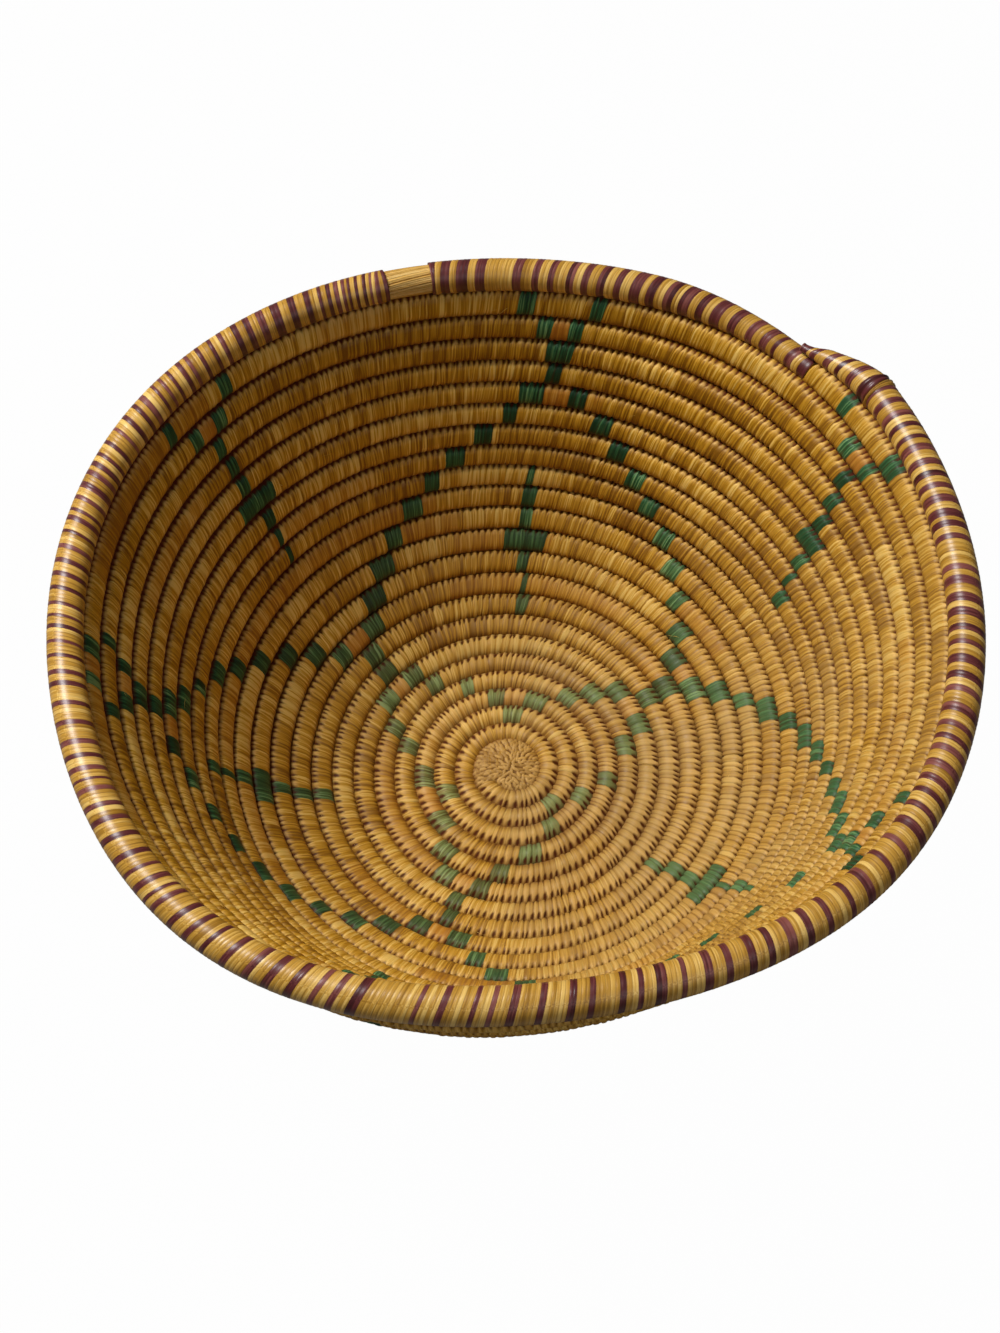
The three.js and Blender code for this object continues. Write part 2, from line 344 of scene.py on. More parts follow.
def wind_skin(name, rings, strand, form, run, closed=False):
    """A mesh over rings (rings, points, 3), with a strand value for each step of rings."""
    count, sides = rings.shape[:2]
    steps = count if closed else count - 1
    ring, side = np.meshgrid(np.arange(steps), np.arange(sides), indexing="ij")
    here, after = ring * sides, (ring + 1) % count * sides
    beside = (side + 1) % sides
    quads = np.stack([here + side, after + side, after + beside, here + beside], -1)
    faces = quads.reshape(-1, 4).tolist()
    if not closed:
        faces.append(list(range(sides)))
        faces.append(list(range(count * sides - 1, (count - 1) * sides - 1, -1)))
    mesh = bpy.data.meshes.new(name)
    mesh.from_pydata((rings.reshape(-1, 3) * MM).tolist(), [], faces)
    mesh.shade_smooth()
    rows = np.repeat(strand[:steps], sides, axis=0)
    caps = strand[[0, -1]] if not closed else strand[:0]
    keep_numbers(mesh, "strand", "FACE", np.concatenate([rows, caps]))
    keep_numbers(mesh, "form", "POINT", form.reshape(-1, 3))
    keep_numbers(mesh, "run", "POINT", run.reshape(-1, 3))
    lay_map(mesh, rings, steps, closed)
    print(name, len(mesh.polygons), "faces")
    return add_object(name, mesh)


def keep_numbers(mesh, name, domain, values):
    kept = mesh.attributes.new(name, "FLOAT_VECTOR", domain)
    kept.data.foreach_set("vector", values.astype(np.float32).ravel())


print("Skins are wound from rings of points")

# %% A map for baking
MAP_GAP = 0.06
ROW_SLACK = 1.0001
END_RADIUS = 0.4


def lay_map(mesh, rings, steps, closed):
    """Rows of the skin, one above another, and its two ends in a spare row."""
    count, sides = rings.shape[:2]
    ahead = np.roll(rings, -1, axis=0)
    lengths = np.linalg.norm(ahead - rings, axis=-1).mean(axis=1)[:steps]
    girth = np.linalg.norm(np.roll(rings, -1, axis=1) - rings, axis=-1).sum(axis=1).mean()
    place = np.concatenate([[0], np.cumsum(lengths)])
    rows = max(1, round(math.sqrt(place[-1] / girth)))
    row_length = place[-1] / rows * ROW_SLACK
    row = np.minimum((place[:-1] + place[1:]) / 2 // row_length, rows - 1)
    slack = lengths.max() / row_length
    left = ((place[:-1] - row * row_length) / row_length + slack) / (1 + 2 * slack)
    right = ((place[1:] - row * row_length) / row_length + slack) / (1 + 2 * slack)
    height = 1 / (rows + 1)
    side = np.arange(sides)
    low = (row[:, None] + (1 - MAP_GAP) * side / sides) * height
    high = (row[:, None] + (1 - MAP_GAP) * (side + 1) / sides) * height
    left, right = (np.broadcast_to(edge[:, None], low.shape) for edge in (left, right))
    corners = np.stack([left, low, right, low, right, high, left, high], -1).reshape(-1, 2)
    if not closed:
        around = TURN * side / sides
        spot = np.stack([np.cos(around), np.sin(around)], -1) * height * END_RADIUS
        middle = np.array([height * 0.5, (rows + 0.5) * height])
        corners = np.concatenate([corners, middle + spot, middle + [height, 0] + spot])
    layer = mesh.uv_layers.new(name="OFBake")
    layer.data.foreach_set("uv", corners.astype(np.float32).ravel())


print("Rows of the map leave", MAP_GAP, "of their height free")

# %% [markdown]
# ## Stitched coil
# On the real basket a stitch goes over the bundle and through the top of the turn below. A
# bump texture on a plain tube could draw that, but stitches show in the outline and shade
# each other, so each one is a few rings of points. It bulges over the bundle, a rounded
# square in section, and sinks at both edges. At the top edge, where the next turn's stitches
# pierce this one, the sinking is deep and the strand is squeezed to a point, so a row of
# teeth stands along every coil. On the floor the coil is flatter and the teeth are longer.
# What changes round the coil is written first, by its place in degrees from the coil's top.

# %% Round the coil
ROUND = np.radians([0, 18, 30, 42, 56, 75, 98, 122, 145, 164, 180, 204, 238, 270, 302, 328, 346])
cosine, sine = np.cos(ROUND), np.sin(ROUND)


def bump_at(place, width):
    """A smooth rise round the coil at one place, in degrees, and none elsewhere."""
    away = np.angle(np.exp(1j * (ROUND - math.radians(place))))
    return np.exp(-((np.degrees(away) / width) ** 2))


TEETH = bump_at(27, 19) + bump_at(-27, 19)
FLAT_TEETH = bump_at(46, 23) + bump_at(-46, 23)
FEET = bump_at(150, 17) + bump_at(210, 17)
FLAT_FEET = bump_at(132, 18) + bump_at(228, 18)
SUNK = 1 - bump_at(0, 11) - bump_at(180, 11)
CREST = bump_at(85, 24)
print("Teeth round the coil:", np.round(TEETH, 1))

# %% Slow waves along the bundle
WAVES = [(2.3, 0.4), (5.1, 0.35), (11.7, 0.25)]
wave_start = draw.uniform(0, TURN, len(WAVES))


def bundle_wave(turn):
    """A slow unevenness between about -1 and 1."""
    waves = [size * np.sin(TURN * rate * turn + at) for (rate, size), at in zip(WAVES, wave_start)]
    return np.sum(waves, axis=0)


print("Wave at the start:", round(float(bundle_wave(0.0)), 2))

# %% [markdown]
# Some things change slowly along the coil: how flat it is, how long its teeth are and how
# worn or tight its stitches are. Each is a short list of turns with a value for each. The
# floor and the right of the wall are the most worn, and the left of the wall is tight.

# %% Flatness, teeth and sides
FLAT_TURNS = [3, 8]
FLAT = [1, 0]
LONG_TEETH_TURNS = [6, 12]
LONG_TEETH = [1, 0]


def flat_at(turn):
    return np.interp(turn, FLAT_TURNS, FLAT)[:, None]


def long_teeth_at(turn):
    return np.interp(turn, LONG_TEETH_TURNS, LONG_TEETH)[:, None]


def teeth_at(turn):
    return TEETH + long_teeth_at(turn) * (FLAT_TEETH - TEETH)


def feet_at(turn):
    return FEET + flat_at(turn) * (FLAT_FEET - FEET)


def left_at(turn):
    """1 in the middle of the left side, and 0 on the right."""
    return np.maximum(-np.cos(TURN * turn), 0)[:, None]


def room_at(turn):
    """Distance from one turn to the next."""
    return (climb(turn + 1) - climb(turn))[:, None]


print("Coil width on floor and wall:", np.round(room_at(np.array([0.0, 20.0])).ravel(), 1), "mm")

# %% Wear and open edges
WORN_TURNS = [0, 5, 8, 12, 17]
WORN = [1, 0.75, 0.3, 0.12, 0]
WORN_SIDE = 0.5
RIGHT_WEAR_TURNS = [14, 20]
RIGHT_WEAR = [1, 0.5]
RIGHT_HEADING = math.radians(-25)
MOST_WORN = 1.1
WORN_LOOSE = 0.5
LEFT_TIGHT = 0.4
SMOOTH_TURNS = [3, 8, 14]
SMOOTH = [0.85, 0.7, 0.2]


def worn_at(turn):
    """How worn the strands are."""
    floor_wear = np.interp(turn, WORN_TURNS, WORN) * (1 + WORN_SIDE * np.cos(TURN * turn))
    right_side = np.maximum(np.cos(TURN * turn - RIGHT_HEADING), 0) ** 2
    right_wear = np.interp(turn, RIGHT_WEAR_TURNS, RIGHT_WEAR) * right_side
    return np.minimum(floor_wear + right_wear, MOST_WORN)[:, None]


def open_edges(stitch, turn):
    """How far the edges of stitches stand open, and less so on the rubbed crest."""
    slack = loose[stitch][:, None] + WORN_LOOSE * worn_at(turn) - LEFT_TIGHT * left_at(turn)
    smooth = np.interp(turn, SMOOTH_TURNS, SMOOTH)[:, None] * CREST
    return np.clip(slack, 0, 1) * (1 - smooth)


print("Wear at turns 0, 10 and 20:", np.round(worn_at(np.array([0.0, 10.0, 20.0])).ravel(), 2))

# %% [markdown]
# Three rings make a stitch: one sunk at its edge and two on its crown. The strands lean,
# because each goes on from one stitch to the next. The last turn reaches up to touch the
# rim, so that no light comes through between them.

# %% Rings of the stitches
STEPS_IN_STITCH = np.array([0, 0.3, 0.7])
STEP_EDGE = np.array([1, 0, 0])
STEP_CROWN = np.array([0, 1, 1])


def stitch_steps(from_turn, to_turn):
    """Stitch, step in the stitch, turn and sway of every ring between two turns."""
    first = int(np.abs(edges - from_turn).argmin())
    last = int(np.abs(edges - to_turn).argmin())
    stitch = np.append(np.repeat(np.arange(first, last), len(STEPS_IN_STITCH)), last - 1)
    step = np.append(np.tile(np.arange(len(STEPS_IN_STITCH)), last - first), 0)
    turn = edges[stitch] + STEPS_IN_STITCH[step] * (edges[stitch + 1] - edges[stitch])
    turn[-1] = edges[last]
    swayed = sway[stitch] + STEPS_IN_STITCH[step] * (sway[stitch + 1] - sway[stitch])
    swayed[-1] = sway[last]
    return stitch, step, turn, swayed


print("Rings on the floor:", len(stitch_steps(START_TURN, FLOOR_TURNS)[0]))

# %% Shape of the stitches
TOP_SQUARE = 2.9
FOOT_SQUARE = 2.3
FLAT_SQUARE = 1.8
THICKNESS = 0.9
WAVE_HEIGHT = 0.12
TOUCH = 0.2
FLAT_TOUCH = 0.5
RIM_TOUCH = 1.0
RIM_TOUCH_EASE = 0.01
POINT = 0.75
LEAN = 0.8
EDGE_DIP = 0.28
FOOT_DIP = 0.3
TOOTH_DIP = 1.0
FLAT_TOOTH_LOSS = 0.5


def stitch_depth(stitch, step, turn):
    """How deep the rings are sunk at the edges of stitches, less each strand's own lift."""
    edge, crown = STEP_EDGE[step][:, None], STEP_CROWN[step][:, None]
    kept_teeth = 1 - FLAT_TOOTH_LOSS * flat_at(turn)
    tooth_gap = TOOTH_DIP * bite[stitch][:, None] * teeth_at(turn) * kept_teeth
    gap = EDGE_DIP * open_edges(stitch, turn) + FOOT_DIP * feet_at(turn) + tooth_gap
    return gap * SUNK * edge - crown * lift[stitch][:, None]


def coil_rings(stitch, step, turn, swayed):
    """Points of the rings, squeezed to teeth and leaning along the coil."""
    width = (edges[stitch + 1] - edges[stitch])[:, None]
    from_middle = (0.5 - STEPS_IN_STITCH[step])[:, None]
    squeeze = POINT * teeth_at(turn) * from_middle * STEP_CROWN[step][:, None] * width
    leaning = turn[:, None] + squeeze - (LEAN + swayed)[:, None] * cosine / round_length(turn)[:, None]
    room, flat, depth = room_at(turn), flat_at(turn), stitch_depth(stitch, step, turn)
    round_square = FOOT_SQUARE + (TOP_SQUARE - FOOT_SQUARE) * (cosine > 0)
    power = 2 / (round_square + (FLAT_SQUARE - round_square) * flat)
    past_last = turn - (WALL_TURNS - 1 - RIM_TOUCH_EASE)
    under_rim = np.clip(past_last / RIM_TOUCH_EASE, 0, 1)[:, None] * (cosine > 0)
    half = room / 2 + TOUCH + FLAT_TOUCH * flat + RIM_TOUCH * under_rim
    thick = THICKNESS * room / 2 + WAVE_HEIGHT * bundle_wave(turn)[:, None]
    up = np.sign(cosine) * np.abs(cosine) ** power * half - depth * cosine
    inward = np.sign(sine) * np.abs(sine) ** power * thick - depth * sine
    return on_coil(coil_middle(leaning), leaning, up, inward)


print("Teeth are up to", round(TOOTH_DIP * bite.max(), 2), "mm deep")

# %% [markdown]
# The material has to know where the dark and pale places are. Gaps between teeth are dark
# creases, partly the strands' cut edges and partly painted shade. The seam between two turns
# is a groove of painted shade, more of it on the left, away from the light. The tips of
# teeth are paler strand with a painted highlight, and the rubbed crests carry a painted
# highlight. Each is a number at every point.

# %% Dark and pale places
FOOT_REACH = 82
FOOT_FADE = 45
FOOT_DARK = 0.6
DEEP_TURNS = [6, 15]
DEEP = [0.55, 1]
TOOTH_CREASE = 1.15
FOOT_CREASE = 0.5
SHALLOW_CREASE = 0.7
LONG_DARK = 0.6
EDGE_CREASE = 0.2
OPEN_CREASE = 0.55
CREST_HIGHLIGHT = 0.6
WORN_HIGHLIGHT = 0.45
CROWN_SHADE = 0.3
from_foot = np.degrees(np.abs(ROUND - math.pi))
FOOT_SHADE = FOOT_DARK * np.clip((FOOT_REACH - from_foot) / FOOT_FADE, 0, 1)
# Painted shade in the seam between turns: on the wall more of it on the left, away from the light, and
# on the floor in the troughs on both sides of each coil.
TOP_GROOVE = bump_at(0, 31)
LEFT_GROOVE_SHADE = 0.65 * bump_at(0, 38)
FLAT_GROOVE = 0.6 * np.minimum(bump_at(0, 55) + bump_at(180, 55), 1)
# Pale tips are paler strand ends with a painted highlight on them.
TIP = bump_at(38, 15) + bump_at(-38, 15)
FLAT_TIP = 0.8 * bump_at(50, 20) + 0.8 * bump_at(-50, 20)


def coil_form(stitch, step, turn):
    """Painted shade in creases and grooves, and pale tips with a painted highlight, at every point."""
    edge, crown = STEP_EDGE[step][:, None], STEP_CROWN[step][:, None]
    flat, long_teeth, left = flat_at(turn), long_teeth_at(turn), left_at(turn)
    deep = np.interp(turn, DEEP_TURNS, DEEP)[:, None]
    # Painted shade in the gaps between teeth and under the feet, over the strands' darker cut edges.
    gap_shade = np.minimum(TOOTH_CREASE * teeth_at(turn) + FOOT_CREASE * feet_at(turn), 1)
    gap_shade = gap_shade * (SHALLOW_CREASE + (1 - SHALLOW_CREASE) * deep) * (1 + LONG_DARK * long_teeth)
    crease = edge * np.maximum(EDGE_CREASE + OPEN_CREASE * open_edges(stitch, turn), gap_shade)
    # A painted highlight along the crests of the flat floor coil and of worn coils.
    shine = np.maximum(CREST_HIGHLIGHT * flat, WORN_HIGHLIGHT * np.clip(worn_at(turn), 0, 1)) * CREST
    tips = TIP + long_teeth * (FLAT_TIP - TIP)
    pale = crown * pale_tip[stitch][:, None] * np.minimum(tips + shine, 1)
    # Painted shade in the seam, strongest on the left of the wall, where the light does not reach.
    crown_shade = crown * (CROWN_SHADE + (1 - CROWN_SHADE) * left)
    groove_shade = TOP_GROOVE * (edge + crown_shade) + LEFT_GROOVE_SHADE * left
    groove = np.minimum(groove_shade + FOOT_SHADE, 1) * deep * (1 - flat) + FLAT_GROOVE * flat
    return np.stack([crease, groove, pale], -1)


print("Shade under the coil:", np.round(FOOT_SHADE, 1))


# %% Bands of stitched coil
def stitched_coil(name, from_turn, to_turn):
    stitch, step, turn, swayed = stitch_steps(from_turn, to_turn)
    rings = coil_rings(stitch, step, turn, swayed)
    strand = np.stack([tone[stitch], dye[stitch], rust[stitch]], -1)
    arc = np.concatenate([[0], np.cumsum(np.diff(turn) * round_length(turn[:-1]))])
    girth = ROUND * room_at(turn) / 2
    run = np.stack(np.broadcast_arrays(arc[:, None] * MM, girth * MM, worn_at(turn)), -1)
    return wind_skin(name, rings, strand, coil_form(stitch, step, turn), run)


COIL_BANDS = [
    ("floor_stitching", "floor_coil", START_TURN, FLOOR_TURNS, "floor_stitching"),
    ("bend_stitching", "bend_coil", FLOOR_TURNS, BEND_TURNS, "floor_stitching"),
    ("wall_stitching_lower", "wall_coil_lower", BEND_TURNS, LOWER_TURNS, "wall_stitching"),
    ("wall_stitching_middle", "wall_coil_middle", LOWER_TURNS, MIDDLE_TURNS, "wall_stitching"),
    ("wall_stitching_upper", "wall_coil_upper", MIDDLE_TURNS, WALL_TURNS, "wall_stitching"),
]
palm_pieces = []
for name, node, from_turn, to_turn, slot in COIL_BANDS:
    piece = stitched_coil(name, from_turn, to_turn)
    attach(piece, "root")
    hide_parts(node)
    palm_pieces.append(piece)

# %% [markdown]
# ## The start
# The spiral starts in a small knotted disc, sewn over and over, so that it shows only
# short crossing stitches. Each is a small rounded grain, and the surface is the highest of
# them at each place. Hundreds of small meshes would do as well, but one skin has no gaps.
# The grains are set out as seeds in a sunflower are, which fills a disc evenly without
# rows. The disc's edge is itself one turn of the spiral.

# %% Start disc's outline
DISC_AROUND = 240
STEP_SHARE = 0.04
STEP_TURN = 0.6
DISC_LAP = 1.2
TOP_RINGS = 44
TOP_SHARES = (0.03, 0.99)
EDGE_SHARES = [1.0, 0.99]
UNDER_RINGS = 8
UNDER_SHARES = (0.92, 0.05)
disc_angle = np.arange(DISC_AROUND) / DISC_AROUND + START_TURN
stepped = np.clip((disc_angle - START_TURN) / STEP_SHARE, 0, 1)
disc_turn = disc_angle + STEP_TURN * (1 - stepped) ** 2
disc_edge = START_RADIUS + climb(disc_turn) + DISC_LAP
top_share = np.linspace(*TOP_SHARES, TOP_RINGS)
under_share = np.linspace(*UNDER_SHARES, UNDER_RINGS)
over = np.concatenate([top_share, EDGE_SHARES, under_share])
is_top = (np.arange(len(over)) < TOP_RINGS)[:, None]
reach = disc_edge * over[:, None]
angle = TURN * disc_angle
disc_x, disc_y = reach * np.cos(angle), reach * np.sin(angle)
print("Start disc reaches from", round(disc_edge.min(), 1), "to", round(disc_edge.max(), 1), "mm")

# %% Grains of the start disc
GRAINS = 250
GOLDEN_ANGLE = math.pi * (3 - math.sqrt(5))
GRAIN_FIELD = 14.6
GRAIN_LENGTH = 1.5
GRAIN_WIDTH = 0.68
GRAIN_STRAY = 0.2
GRAIN_LEAN = (0.3, 0.9)
LEAST_LEAN = 0.15
LEAN_REACH = 11
GRAIN_OVERLAP = 0.08
GRAIN_TONES = (0.1, 1)
grain_height = np.zeros(disc_x.shape)
grain_tone = np.zeros(disc_x.shape)
for grain in range(GRAINS):
    spread = GRAIN_FIELD * math.sqrt((grain + 0.5) / GRAINS)
    heading = grain * GOLDEN_ANGLE
    x = spread * math.cos(heading) + draw.normal(0, GRAIN_STRAY)
    y = spread * math.sin(heading) + draw.normal(0, GRAIN_STRAY)
    lean = heading + draw.normal(*GRAIN_LEAN) * max(LEAST_LEAN, 1 - spread / LEAN_REACH)
    along = (disc_x - x) * math.cos(lean) + (disc_y - y) * math.sin(lean)
    across = (disc_y - y) * math.cos(lean) - (disc_x - x) * math.sin(lean)
    rise = 1 - (along / GRAIN_LENGTH) ** 2 - (across / GRAIN_WIDTH) ** 2
    higher = rise + draw.normal(0, GRAIN_OVERLAP) > grain_height
    grain_height = np.where(higher, np.maximum(rise, 0), grain_height)
    grain_tone = np.where(higher, draw.uniform(*GRAIN_TONES), grain_tone)
print("Covered by grains:", round(float((grain_height[:TOP_RINGS] > 0).mean()), 2))

# %% Start disc's heights
DISC_CROWN = 0.9
DISC_LEVEL = 0.86
GRAIN_RISE = 0.5
FALL_START = 0.8
TOP_FALL = 1.0
UNDER_LEVEL = 0.05
UNDER_GRAIN = 0.4
UNDER_RISE = 2.0
edge_fall = np.clip((over - FALL_START) / (1 - FALL_START), 0, 1)[:, None] ** 2
domed = FLOOR_HEIGHT * DISC_LEVEL + DISC_CROWN * (1 - over[:, None] ** 2)
top_z = domed + GRAIN_RISE * np.sqrt(grain_height) - TOP_FALL * edge_fall
under_z = UNDER_LEVEL + UNDER_GRAIN * (1 - np.sqrt(grain_height)) + UNDER_RISE * edge_fall
disc_z = np.where(is_top, top_z, under_z)
disc_z[TOP_RINGS] = FLOOR_HEIGHT / 2
disc_rings = np.stack([disc_x, disc_y + FLOOR_SHIFT_Y, np.maximum(disc_z, 0)], -1)
print("Start disc is", round(float(disc_z.max()), 1), "mm high")

# %% Start disc's skin
DISC_TONE = 0.05
DISC_CREASE = 0.65
GRAIN_CLEAR = 2.2
DISC_GROOVE = 0.8
GRAIN_PALE = 0.5
DISC_WEAR = 1.1
# Painted shade between the grains and round the disc's falling edge, and a painted highlight on the
# grains, as strong as each grain's own random tone.
disc_crease = DISC_CREASE * np.clip(1.0 - GRAIN_CLEAR * grain_height, 0, 1)
disc_groove = DISC_GROOVE * edge_fall + 0 * reach
disc_pale = GRAIN_PALE * grain_tone * (1 - disc_crease)
disc_form = np.stack([disc_crease, disc_groove, disc_pale], -1)
disc_run = np.stack([angle * reach * MM, reach * MM, DISC_WEAR * np.ones_like(reach)], -1)
disc_strand = np.tile([DISC_TONE, 0.0, 0.0], (len(over), 1))
start = wind_skin("start_stitching", disc_rings, disc_strand, disc_form, disc_run)
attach(start, "root")
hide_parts("start_disc")
palm_pieces.append(start)

# %% [markdown]
# ## The rim's stripes
# The last turn is bound like a handle, strand beside strand, in maroon and gold. How wide
# the stripes are changes round the rim, so it is kept as a short list: angle in degrees,
# width of maroon and width of gold in millimetres. A striped texture would be flat, so each
# stripe is made of real strands. A plain patch shows where gold strands were joined on.

# %% Stripe widths
STRIPES = [
    (45, 2.8, 2.8), (98, 2.9, 2.9), (108.5, 1.1, 1.2), (116, 1.3, 1.4), (118, 2.4, 2.8),
    (150, 1.4, 3.2), (165, 1.5, 3.2), (205, 1.6, 3.3), (225, 1.8, 4.0), (235, 2.0, 4.8),
    (300, 2.0, 5.0), (322, 2.2, 4.4), (335, 2.3, 2.9), (360, 2.2, 2.8), (395, 2.4, 2.8),
    (405, 2.2, 2.8),
]
PLAIN_PATCHES = [(87.2, 10), (254, 15), (363.5, 9)]
PATCH_REACH = 1.4
STRAND_WIDTH = 1.45
STRIPE_UNEVEN = 0.24
STRIPE_LIMITS = (0.5, 1.6)
RIM_TURN = 22
stripe_angle, maroon_width, gold_width = np.array(STRIPES).T


def rim_turn_length(turn):
    return TURN * section(climb(turn) + RIM_COIL / 2)[0]


def rim_strands(from_turn, to_turn):
    """Edges of the strands between two turns, and which of them are maroon."""
    strand_edges, maroon = [from_turn], []
    is_maroon = True
    while strand_edges[-1] < to_turn:
        turn = strand_edges[-1]
        angle = 360 * (turn - RIM_TURN)
        widths = maroon_width if is_maroon else gold_width
        uneven = np.clip(draw.normal(1, STRIPE_UNEVEN), *STRIPE_LIMITS)
        stripe = np.interp(angle, stripe_angle, widths) * uneven
        for patch_angle, patch in PLAIN_PATCHES:
            if not is_maroon and abs(angle - patch_angle) < PATCH_REACH:
                stripe = patch
        parts = max(1, round(stripe / STRAND_WIDTH))
        for part in range(parts):
            strand_edges.append(strand_edges[-1] + stripe / parts / rim_turn_length(turn))
            maroon.append(float(is_maroon))
        is_maroon = not is_maroon
    strand_edges[-1] = to_turn
    return np.array(strand_edges), np.array(maroon)


print("Stripes are listed at", len(STRIPES), "angles")

# %% [markdown]
# The rim is a sleeve over the bundle: rings on the outside, then a plain lining inside.
# It swells from the wall's coil where the rim begins and thins to a tail at its end.

# %% Rim sizes
RIM_SWELL = 60
TAIL_LENGTH = 29
TAIL_WIDTH = 5.2
TAIL_DROP = 0.1
TIP_LENGTH = 9
TIP_TAPER = 0.4
WINDOW_START = 101
WINDOW_LENGTH = 15.5
WRAP = 0.6
END_GAP = 0.3


def share_of_turn(length, turn):
    return length / (TURN * section(climb(turn))[0])


def ease(value, low, high):
    share = np.clip((value - low) / (high - low), 0, 1)
    return share * share * (3 - 2 * share)


SWELL_END = WALL_TURNS + share_of_turn(RIM_SWELL, WALL_TURNS)
TAIL_START = RIM_END - share_of_turn(TAIL_LENGTH, RIM_END)
TIP_START = RIM_END - share_of_turn(TIP_LENGTH, RIM_END)
WINDOW_TURN = RIM_TURN + WINDOW_START / 360
WINDOW_END = WINDOW_TURN + share_of_turn(WINDOW_LENGTH, WINDOW_TURN)
RIM_START = WALL_TURNS + share_of_turn(END_GAP, WALL_TURNS)


def rim_width(turn):
    swollen = TOP_COIL - COIL_GAP + (RIM_COIL - TOP_COIL + COIL_GAP) * ease(turn, WALL_TURNS, SWELL_END)
    thinned = swollen + (TAIL_WIDTH - swollen) * ease(turn, TAIL_START, RIM_END)
    return thinned * (1 - TIP_TAPER * ease(turn, TIP_START, RIM_END))


def on_rim(turn, around, depth):
    """Points round the rim, so deep under its outside."""
    half = rim_width(turn) / 2
    inset = (RIM_COIL - TAIL_WIDTH) / 2 * ease(turn, TAIL_START, RIM_END)
    middle = climb(turn) + COIL_GAP / 2 + half - TAIL_DROP * inset
    out = half - depth
    return on_coil(middle, turn, out * np.cos(around), inset + out * np.sin(around))


print("Window ends at", round(360 * (float(WINDOW_END) - RIM_TURN), 1), "degrees")

# %% [markdown]
# Each strand is four rings that bulge a little, lean along the rim and are pulled more or
# less tight. At one place near the tail they have slipped and stand off.

# %% Strands wound round the rim
RIM_SIDES = 28
RIM_AROUND = TURN * np.arange(RIM_SIDES) / RIM_SIDES
RIM_STEPS = np.array([0, 0.25, 0.5, 0.75])
RIM_DIP = 0.06
RIM_LEAN = 1.6
RIM_END_EASE = 0.004
RIM_PULL = 0.02
SLIP_ANGLE = 393.2
SLIP_SPREAD = 1.3
SLIP_LIFT = 0.8
SLIP_SHARES = (0.2, 1)


def wound_strands(turn, step, which, from_turn, to_turn):
    """Rings of points over the strands, which lie square to the rim at both ends."""
    strands = which[-1] + 1
    begun = ease(turn, from_turn, from_turn + RIM_END_EASE)
    ended = ease(turn, to_turn - RIM_END_EASE, to_turn)
    ends = np.minimum(begun, 1 - ended)[:, None]
    leaning = turn[:, None] + ends * RIM_LEAN * np.sin(RIM_AROUND) / rim_turn_length(turn)[:, None]
    slipped = np.exp(-((360 * (turn - RIM_TURN) - SLIP_ANGLE) / SLIP_SPREAD) ** 2)
    pull = draw.normal(0, RIM_PULL, strands)[which]
    pull = pull + SLIP_LIFT * slipped * draw.uniform(*SLIP_SHARES, strands)[which]
    crown = np.sin(np.pi * RIM_STEPS[step])
    return on_rim(leaning, RIM_AROUND, (RIM_DIP * (1 - crown) - pull * crown)[:, None])


print("Strands sink", RIM_DIP, "mm at their edges")

# %% Rim wrapping
TIP_STRANDS = 4
RIM_TONE = 0.2
LINING_STEP = 16


def wrapped_rim(name, from_turn, to_turn):
    """A sleeve of strands between two turns, with its lining. The tail's tip is all maroon."""
    strand_edges, maroon = rim_strands(from_turn, to_turn)
    if to_turn == RIM_END:
        maroon[-TIP_STRANDS:] = 1
    strands = len(maroon)
    which = np.append(np.repeat(np.arange(strands), len(RIM_STEPS)), strands - 1)
    step = np.append(np.tile(np.arange(len(RIM_STEPS)), strands), 0)
    turn = strand_edges[which] + RIM_STEPS[step] * (strand_edges[which + 1] - strand_edges[which])
    turn[-1] = to_turn
    outer = wound_strands(turn, step, which, from_turn, to_turn)
    inner_turn = turn[np.append(np.arange(len(turn) - 1, 0, -LINING_STEP), 0)][:, None]
    inner = on_rim(inner_turn + 0 * RIM_AROUND, RIM_AROUND, WRAP)
    rings = np.concatenate([outer, inner])
    tones = draw.normal(MIDDLE_TONE, RIM_TONE, strands)[which]
    outer_strand = np.stack([tones, maroon[which], 0 * tones], -1)
    strand = np.concatenate([outer_strand, np.zeros((len(inner), 3))])
    form = np.zeros(rings.shape)
    # The first ring of each strand carries painted shade in the seam between strands.
    form[: len(turn), :, 0] = (step == 0)[:, None]
    run = np.zeros(rings.shape)
    run[: len(turn), :, 0] = ((turn - turn[0]) * rim_turn_length(turn) * MM)[:, None]
    run[:, :, 1] = RIM_AROUND * RIM_COIL / 2 * MM
    return wind_skin(name, rings, strand, form, run, closed=True)


RIM_LENGTHS = [
    ("rim_binding_short", "rim_wrap_short", RIM_START, WINDOW_TURN),
    ("rim_binding_long", "rim_wrap_long", WINDOW_END, TAIL_START),
    ("rim_binding_tail", "rim_wrap_tail", TAIL_START + share_of_turn(END_GAP, TAIL_START), RIM_END),
]
rim_pieces = []
for name, node, from_turn, to_turn in RIM_LENGTHS:
    piece = wrapped_rim(name, from_turn, to_turn)
    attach(piece, "root")
    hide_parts(node)
    rim_pieces.append(piece)

# %% [markdown]
# ## The bare window
# At one place the binding stops and the bundle itself shows: a sheaf of thin grass stems
# side by side, slightly twisted. Each stem is a thin tube that runs on under the binding.
# The rest of the bundle is hidden, so one plain tube stands for it all the way round.
# Curves with a bevel could draw the stems too, but these follow the rim's own rule.

